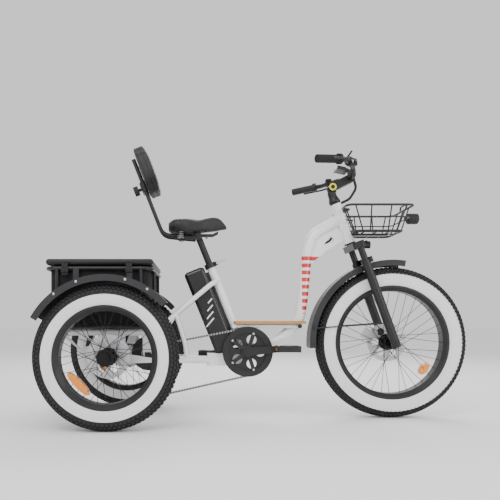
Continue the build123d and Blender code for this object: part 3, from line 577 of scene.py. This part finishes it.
class MakeReflectors(bpy.types.Operator):
    """Orange reflectors with a painted glow, clipped between the spokes"""

    bl_idname = "tricycle.reflectors"
    bl_label = "Reflectors"

    def execute(self, context):
        lens = prism_lens_with_painted_glow("orange lens with painted glow", context.scene.tricycle_paint.reflector)
        for name, reach, angle, length, height in (
            ("front", 0.195, -38, 0.062, 0.034),
            ("right_rear", 0.150, 224, 0.122, 0.032),
            ("left_rear", 0.150, 224, 0.122, 0.032),
        ):
            centre = tyre_sizes(name)[0]
            turn = radians(angle)
            spot = centre + Vector((reach * cos(turn), 0, reach * sin(turn)))
            begin()
            bpy.ops.mesh.primitive_cylinder_add(
                vertices=32, radius=0.5, depth=1, location=spot, rotation=(pi / 2, 0, 0))
            piece = bpy.context.object
            piece.scale = (length, height, 0.030)
            piece.rotation_euler = (pi / 2, -(turn + pi / 2), 0)
            bpy.ops.object.transform_apply(location=True, rotation=True, scale=True)
            modify(piece, "BEVEL", width=0.003, segments=3, limit_method="ANGLE", angle_limit=radians(50))
            settle(piece, f"{name}_reflector", f"{name}_wheel", lens)
        return {"FINISHED"}


class MakeSeat(bpy.types.Operator):
    """Saddle and backrest covers with piping"""

    bl_idname = "tricycle.seat"
    bl_label = "Saddle and backrest"

    def execute(self, context):
        settings = context.scene.tricycle_seat
        cover = leather("seat cover", settings.cover)
        cord = plastic("seat piping", (0.03, 0.03, 0.03), 0.6)
        self.saddle(cover, cord, settings)
        self.backrest(cover, cord, settings)
        return {"FINISHED"}

    def saddle(self, cover, cord, settings):
        low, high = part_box("saddle")
        centre = (low + high) / 2
        half = (high - low) / 2

        tops = [
            (-1, 0.60), (-0.9, 0.80), (-0.2, 0.84), (0.05, 0.78), (0.3, 0.92), (0.6, 1.0), (0.85, 0.84), (1, 0.45),
        ]
        bases = [(-1, 0.17), (-0.8, 0.02), (-0.1, 0.02), (0.1, 0.09), (0.5, 0.15), (1, 0.28)]
        widths = [
            (-1, 0.74), (-0.85, 0.95), (-0.6, 1.0), (-0.35, 0.93), (-0.1, 0.66), (0.15, 0.36), (0.5, 0.25),
            (1, 0.19),
        ]

        def place(u, v, w):
            top = along(tops, u) - 0.16 * v ** 4 - 0.05 * (1 - v * v) * max(0.0, -u)
            base = along(bases, u) + 0.10 * v ** 4
            share = (w + 1) / 2
            tuck = 1 - 0.10 * w * w
            return Vector((
                centre.x + half.x * u * (1 - 0.04 * v * v), half.y * along(widths, u) * v * tuck,
                low.z + 2 * half.z * (base + (top - base) * share)))

        saddle = shaped_cushion(place, 11)
        settle(saddle, "saddle_cover", "seat", cover, ("saddle",))
        edge = []
        for index in range(40):
            turn = 2 * pi * index / 40
            u = cos(turn) * 0.93
            v = (1 if sin(turn) >= 0 else -1) * abs(sin(turn)) ** 0.6
            edge.append(place(u, v * 0.97, -0.35))
        piping = piping_cord(edge, settings.piping * 0.35)
        settle(piping, "saddle_piping", "seat", cord)
        springs = []
        for side in (-1, 1):
            for turn in range(5):
                begin()
                bpy.ops.mesh.primitive_torus_add(
                    location=(centre.x - 0.075, side * 0.06, low.z + 0.010 - 0.008 * turn),
                    major_radius=0.013, minor_radius=0.0022, major_segments=24, minor_segments=8)
                springs.append(bpy.context.object)
        settle(joined(springs), "saddle_springs", "seat", bare_metal("spring steel", (0.35, 0.35, 0.36)))

    def backrest(self, cover, cord, settings):
        low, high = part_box("backrest_pad")
        centre = (low + high) / 2
        up = Vector((-cos(BACKREST_LEAN), 0, sin(BACKREST_LEAN)))
        ahead = Vector((sin(BACKREST_LEAN), 0, cos(BACKREST_LEAN)))
        tall, wide, deep = 0.109, 0.142, 0.0265

        def place(u, v, w):
            corner = 1 - 0.30 * abs(v) ** 5
            side = 1 - 0.30 * abs(w) ** 5
            front = 1.25 - 0.50 * abs(w) ** 3.2 - 0.20 * abs(v) ** 4
            rear = 1.0 - 0.16 * max(abs(v), abs(w)) ** 6
            reach = deep * (front if u > 0 else rear) * u
            return centre + ahead * reach + Vector((0, wide * v * side, 0)) + up * tall * w * corner

        pad = shaped_cushion(place, 9)
        settle(pad, "backrest_cover", "backrest", cover, ("backrest_pad",))
        for name, depth in (("front", 0.30), ("rear", -0.60)):
            edge = []
            for index in range(48):
                turn = 2 * pi * index / 48
                v = (1 if cos(turn) >= 0 else -1) * abs(cos(turn)) ** 0.42
                w = (1 if sin(turn) >= 0 else -1) * abs(sin(turn)) ** 0.42
                edge.append(place(depth, v, w))
            piping = piping_cord(edge, settings.piping * 0.4)
            settle(piping, f"backrest_piping_{name}", "backrest", cord)


class MakeCargo(bpy.types.Operator):
    """Cloth cargo box, its ribbed lid and its straps"""

    bl_idname = "tricycle.cargo"
    bl_label = "Cargo box"

    def execute(self, context):
        cloth = canvas("cargo canvas", (0.018, 0.018, 0.019))
        webbing = canvas("strap webbing", (0.03, 0.03, 0.03))
        low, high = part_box("cargo_box")
        centre = (low + high) / 2
        size = high - low
        box = rounded_block(centre, size, edge=0.024, segments=3)
        bpy.ops.object.mode_set(mode="EDIT")
        bpy.ops.mesh.select_mode(type="FACE")
        bpy.ops.mesh.select_all(action="DESELECT")
        bpy.ops.object.mode_set(mode="OBJECT")
        for face in box.data.polygons:
            face.select = face.center.z > high.z - 0.025 and face.normal.z > 0.3
        bpy.ops.object.mode_set(mode="EDIT")
        bpy.ops.mesh.delete(type="FACE")
        bpy.ops.mesh.select_all(action="SELECT")
        bpy.ops.mesh.normals_make_consistent(inside=False)
        bpy.ops.object.mode_set(mode="OBJECT")
        modify(box, "SOLIDIFY", thickness=0.004, offset=-1)
        settle(box, "cargo_box_cover", "frame", cloth, ("cargo_box",))
        lid_low, lid_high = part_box("cargo_lid")
        lid_centre = (lid_low + lid_high) / 2
        lid = rounded_block(lid_centre, lid_high - lid_low, edge=0.011, segments=4)
        rib_parts = [lid]
        for share in (-0.3, 0.0, 0.3):
            rib_parts.append(rounded_block(
                (lid_centre.x + share * (lid_high.x - lid_low.x), lid_centre.y, lid_high.z - 0.001),
                (0.012, (lid_high.y - lid_low.y) * 0.82, 0.004), edge=0.001))
        settle(joined(rib_parts), "cargo_lid_cover", "cargo_lid",
               plastic("lid plastic", (0.018, 0.018, 0.019), 0.42), ("cargo_lid",))
        rail_low, rail_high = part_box("cargo_basket")
        for side, word in ((-1, "right"), (1, "left")):
            y = side * (rail_high.y + 0.001)
            for index, share in enumerate((0.2, 0.78)):
                x = rail_low.x + share * (rail_high.x - rail_low.x)
                strap = rounded_block((x, y, rail_high.z - 0.012), (0.026, 0.0035, 0.05), edge=0.001)
                buckle = rounded_block((x, y + side * 0.003, rail_high.z - 0.018), (0.030, 0.006, 0.018), edge=0.002)
                settle(joined([strap, buckle]), f"cargo_strap_{word}_{index + 1}", "frame", webbing)
        return {"FINISHED"}


class MakeDrive(bpy.types.Operator):
    """Crank spider, chainring bolts and teeth, pedal pins and reflectors"""

    bl_idname = "tricycle.drive"
    bl_label = "Drive fittings"

    def execute(self, context):
        steel = bare_metal("fastener steel", (0.6, 0.6, 0.62), 0.25)
        black = dark_metal("crank black", (0.02, 0.02, 0.021), 0.3)
        ring = middle("chainring")
        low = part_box("chainring")[0]
        arm = rounded_block((ring.x + 0.045, low.y + 0.0015, ring.z), (0.086, 0.008, 0.017), edge=0.002)
        boss = turned_disc((ring.x, low.y + 0.001, ring.z), 0.026, 0.012)
        spider = joined([round_axle(arm, CHAINRING_ARMS, ring), boss])
        settle(spider, "crank_spider", "crank", black)
        bolt = turned_disc((ring.x + CRANK_BOLT_REACH, low.y - 0.003, ring.z), 0.005, 0.004, sides=12)
        settle(round_axle(bolt, CHAINRING_ARMS, ring), "chainring_bolts", "crank", steel)
        tooth = rounded_block(
            (ring.x, CHAIN_Y, ring.z + TOOTH_REACH), (0.0052, 0.0022, 0.007), edge=0.0008, segments=1)
        teeth = round_axle(tooth, CHAINRING_TEETH, ring)
        settle(teeth, "chainring_teeth", "crank", steel)
        for side in ("right", "left"):
            pedal_low, pedal_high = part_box(f"{side}_pedal")
            centre = (pedal_low + pedal_high) / 2
            pins = []
            for x in (-0.044, 0.044):
                for y in (-0.036, -0.018, 0.0, 0.018, 0.036):
                    for z in (pedal_low.z, pedal_high.z):
                        pins.append(turned_disc((centre.x + x, centre.y + y, z), 0.002, 0.006, (0, 0, 0), 8, 0.0004))
            settle(joined(pins), f"{side}_pedal_pins", f"{side}_pedal", steel)
            lens = prism_lens_with_painted_glow(f"{side} pedal lens with painted glow", context.scene.tricycle_paint.reflector)
            for end, x in (("front", pedal_high.x - 0.002), ("rear", pedal_low.x + 0.002)):
                piece = rounded_block((x, centre.y, centre.z), (0.005, 0.06, 0.014), edge=0.001)
                settle(piece, f"{side}_pedal_reflector_{end}", f"{side}_pedal", lens)
        return {"FINISHED"}


class MakeFittings(bpy.types.Operator):
    """Lamp lens and fins, fender bolts, tube plugs, display, pivot rings and battery stripes"""

    bl_idname = "tricycle.fittings"
    bl_label = "Small fittings"

    def execute(self, context):
        steel = bare_metal("bolt steel", (0.65, 0.65, 0.66), 0.25)
        black = plastic("fitting black", (0.02, 0.02, 0.021), 0.45)
        glass = plastic("lamp lens", (0.75, 0.77, 0.8), 0.08, 200, 0.3, 0.8)
        lamp_low, lamp_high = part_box("headlight")
        lamp = middle("headlight")
        lens = turned_disc((lamp_high.x - 0.002, lamp.y, lamp.z), 0.019, 0.005, (0, pi / 2, 0))
        settle(lens, "headlight_lens", "frame", glass)
        fin_parts = []
        for index in range(4):
            fin_parts.append(turned_disc((lamp_low.x + 0.022 + 0.008 * index, lamp.y, lamp.z), 0.0247, 0.003,
                                         (0, pi / 2, 0)))
        settle(joined(fin_parts), "headlight_fins", "frame", black)
        for word in ("right", "left"):
            centre = tyre_sizes(f"{word}_rear")[0]
            bolts = []
            for angle in (58, 75, 110, 128):
                turn = radians(angle)
                for y in (-FENDER_BOLT_Y, FENDER_BOLT_Y):
                    spot = centre + Vector((FENDER_BOLT_REACH * cos(turn), y, FENDER_BOLT_REACH * sin(turn)))
                    bolts.append(turned_disc(spot, 0.005, 0.003, sides=12))
            settle(joined(bolts), f"{word}_fender_bolts", "frame", steel)
        self.battery_trim()
        deck_low, deck_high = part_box("deck_frame")
        plugs = [turned_disc((deck_high.x - 0.010, y, (deck_low.z + deck_high.z) / 2), 0.0098, 0.004)
                 for y in (deck_low.y - 0.001, deck_high.y + 0.001)]
        settle(joined(plugs), "deck_tube_plugs", "frame", black)
        bar = middle("stem_arm")
        screen = rounded_block((bar.x - 0.002, 0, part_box("handlebar")[1].z + 0.0005), (0.040, 0.058, 0.002),
                               (0, radians(12), 0), 0.0008)
        dark_glass = plastic("display glass", (0.01, 0.012, 0.015), 0.05, 50, 0.0, 1.0)
        settle(screen, "display_glass", "handlebar", dark_glass)
        pivot = Vector(JOINTS["stem_tilt"]["pos_m"])
        accent = plastic("yellow ring", (0.75, 0.62, 0.02), 0.35)
        rings = [turned_disc((pivot.x, y, pivot.z), 0.0165, 0.003) for y in (-0.0252, 0.0252)]
        settle(joined(rings), "stem_pivot_rings", "handlebar", accent)
        caps = [turned_disc((pivot.x, y, pivot.z), 0.0095, 0.003) for y in (-0.0262, 0.0262)]
        settle(joined(caps), "stem_pivot_caps", "handlebar", black)
        return {"FINISHED"}

    def battery_trim(self):
        low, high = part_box("battery")
        up = Vector((-cos(SEAT_TUBE_LEAN), 0, sin(SEAT_TUBE_LEAN)))
        ahead = Vector((sin(SEAT_TUBE_LEAN), 0, cos(SEAT_TUBE_LEAN)))
        centre = (low + high) / 2
        pale = plastic("battery stripe", (0.7, 0.7, 0.7), 0.3)
        for side, word in ((-1, "right"), (1, "left")):
            strips = []
            for index in range(4):
                spot = centre + up * (-0.08 + 0.030 * index) + ahead * (0.012 * index - 0.02)
                strip = rounded_block(
                    (spot.x, side * (high.y + 0.0002), spot.z), (0.052 - 0.008 * index, 0.001, 0.006),
                    (0, -radians(50), 0), 0.0004)
                strips.append(strip)
            settle(joined(strips), f"battery_stripes_{word}", "battery", pale)


class FinishFrame(bpy.types.Operator):
    """Materials for every part that keeps its frame shape"""

    bl_idname = "tricycle.finish_frame"
    bl_label = "Frame materials"

    def execute(self, context):
        paint = context.scene.tricycle_paint
        body, accent = tuple(paint.body), tuple(paint.accent)
        white = frame_paint("white enamel", body)
        decals = frame_paint("white enamel with bars", body, accent, (0.19, 0.27, 0.47, 0.74, 0.016))
        satin = dark_metal("satin black coat", (0.018, 0.018, 0.019))
        fork = dark_metal("fork black", (0.016, 0.016, 0.017), 0.28)
        steel = bare_metal("polished steel", (0.55, 0.55, 0.57))
        chain = chain_links("chain steel", (0.40, 0.40, 0.41))
        alloy = bare_metal("turned alloy", (0.62, 0.62, 0.64), 0.3, "Y")
        hub = dark_metal("hub black", (0.025, 0.025, 0.026), 0.32)
        matt = plastic("moulded black", (0.022, 0.022, 0.023), 0.55)
        guard = plastic("mudguard grey", (0.028, 0.028, 0.030), 0.40, 500, 0.08)
        gloss = plastic("battery black", (0.012, 0.012, 0.013), 0.25, 300, 0.03, 0.5)
        rubber = ribbed_rubber("ribbed grip", (0.02, 0.02, 0.02))
        finishes = {
            "front_frame": decals, "deck_frame": white, "rear_frame": white, "deck_board": deck_wood("oiled deck"),
            "headset_bearings": satin, "axle_mounts": satin, "rear_derailleur": satin, "main_chain": chain,
            "drive_chain": chain, "bottom_bracket": alloy, "battery_base": matt, "seat_clamp": satin,
            "cargo_basket": satin, "right_rear_fender": guard, "left_rear_fender": guard, "front_basket": satin,
            "headlight": matt, "frame_cables": matt, "battery": gloss, "seat_clamp_lever": alloy, "seat_post": satin,
            "seat_frame": satin, "backrest_plate": satin, "backrest_knob": matt, "fork_upper": fork,
            "stem_base": satin, "control_cables": matt, "stem_arm": satin, "handlebar": satin, "bar_controls": matt,
            "throttle_grip": rubber, "left_brake_lever": satin, "right_brake_lever": satin, "shift_lever": matt,
            "fork_lowers": fork, "front_fender": guard, "front_caliper": alloy, "chainring": satin,
            "crank_arms": satin, "right_pedal": matt, "left_pedal": matt, "freewheel": steel, "hub_motor": hub,
            "differential": hub,
        }
        for name in ("front", "right_rear", "left_rear"):
            finishes[f"{name}_rim"] = satin
            finishes[f"{name}_hub"] = hub_and_disc(f"{name} hub and disc", middle(f"{name}_hub"))
            finishes[f"{name}_spokes"] = satin
        for node, piece in NODES.items():
            finish = finishes.get(node, matt)
            if not piece.data.materials:
                piece.data.materials.append(finish)
            for index in range(len(piece.material_slots)):
                piece.material_slots[index].material = finish
        return {"FINISHED"}


class MakeStage(bpy.types.Operator):
    """Pale floor, soft studio lights and the camera"""

    bl_idname = "tricycle.stage"
    bl_label = "Stage"

    def execute(self, context):
        settings = context.scene.tricycle_stage
        begin()
        bpy.ops.mesh.primitive_plane_add(size=60, location=(0, 0, 0))
        floor = bpy.context.object
        floor.name = "studio_floor"
        pale = Finish("studio floor", 0.85)
        pale.set("Base Color", pale.blend(pale.noise(0.5, 1), (0.93, 0.93, 0.93), (0.95, 0.95, 0.95)))
        floor.data.materials.append(pale.material)
        world = bpy.data.worlds.new("studio")
        world.use_nodes = True
        world.node_tree.nodes["Background"].inputs[0].default_value = (1, 1, 1, 1)
        world.node_tree.nodes["Background"].inputs[1].default_value = 0.95
        context.scene.world = world
        for name, place, power, size in (
            ("key", (-1.5, -3.6, 3.4), 120, 3.0),
            ("fill", (2.8, -2.6, 1.8), 55, 2.5),
            ("rim", (0.5, 3.0, 3.2), 90, 3.0),
        ):
            bpy.ops.object.light_add(type="AREA", location=place)
            lamp = bpy.context.object
            lamp.name = f"light_{name}"
            lamp.data.energy = power
            lamp.data.size = size
            lamp.rotation_euler = (Vector((0, 0, 0.5)) - Vector(place)).to_track_quat("-Z", "Y").to_euler()
        bpy.ops.object.camera_add(
            location=(settings.camera_forward, -settings.camera_distance, settings.camera_height),
            rotation=(pi / 2, 0, 0))
        camera = bpy.context.object
        camera.data.lens = settings.lens
        camera.data.shift_x, camera.data.shift_y = CAMERA_SHIFT
        context.scene.camera = camera
        return {"FINISHED"}


class TricyclePanel(bpy.types.Panel):
    """The tricycle's pieces, in the sidebar"""

    bl_idname = "VIEW3D_PT_tricycle"
    bl_label = "Tricycle"
    bl_space_type = "VIEW_3D"
    bl_region_type = "UI"
    bl_category = "Tricycle"

    def draw(self, context):
        for step in STEPS:
            self.layout.operator(step.bl_idname)


STEPS = (FinishFrame, MakeTyres, MakeReflectors, MakeSeat, MakeCargo, MakeDrive, MakeFittings, MakeStage)
SETTINGS = {
    "tricycle_stage": StageSettings,
    "tricycle_tyres": TyreSettings,
    "tricycle_seat": SeatSettings,
    "tricycle_paint": PaintSettings,
}


def register():
    for name, group in SETTINGS.items():
        bpy.utils.register_class(group)
        setattr(bpy.types.Scene, name, bpy.props.PointerProperty(type=group))
    for step in STEPS:
        bpy.utils.register_class(step)
    bpy.utils.register_class(TricyclePanel)


def unregister():
    bpy.utils.unregister_class(TricyclePanel)
    for step in reversed(STEPS):
        bpy.utils.unregister_class(step)
    for name, group in SETTINGS.items():
        delattr(bpy.types.Scene, name)
        bpy.utils.unregister_class(group)


def main():
    register()
    for step in STEPS:
        section, name = step.bl_idname.split(".")
        getattr(getattr(bpy.ops, section), name)()


if __name__ == "__main__":
    main()
